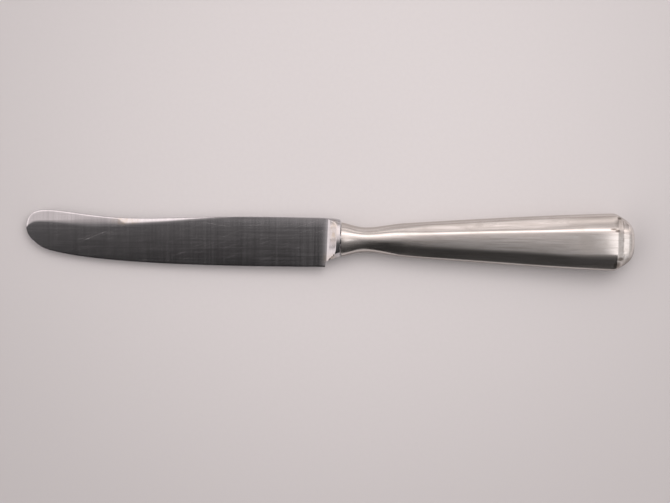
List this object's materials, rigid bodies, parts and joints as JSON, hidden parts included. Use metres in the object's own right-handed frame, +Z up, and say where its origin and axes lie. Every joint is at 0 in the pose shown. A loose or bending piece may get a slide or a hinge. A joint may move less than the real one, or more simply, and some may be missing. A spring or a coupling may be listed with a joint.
{
  "type": "fruit knife",
  "caption": "Small table knife: an upswept blade with a rounded tip, a short bolster, and a faceted hollow handle with a narrow neck and a stepped end.",
  "frame": {"origin": "centre of the knife's bounding box at the level of the table it lies on", "axes": "+X from the blade's tip to the end of the handle, +Y to the spine, +Z up, out of the front of the knife; the knife's own axis dips about a degree towards the tip, as it lies on bolster and handle end"},
  "size_m": [0.17, 0.016, 0.0095],
  "materials": {
    "blade_steel": "satin",
    "silver_plate": "gloss",
    "silver_solder": "satin",
    "cement": "matte"
  },
  "bodies": {
    "root": {"blade": "blade_steel", "handle_front_half": "silver_plate", "handle_back_half": "silver_plate", "seam_solder": "silver_solder", "handle_cement": "cement"}
  },
  "joints": []
}
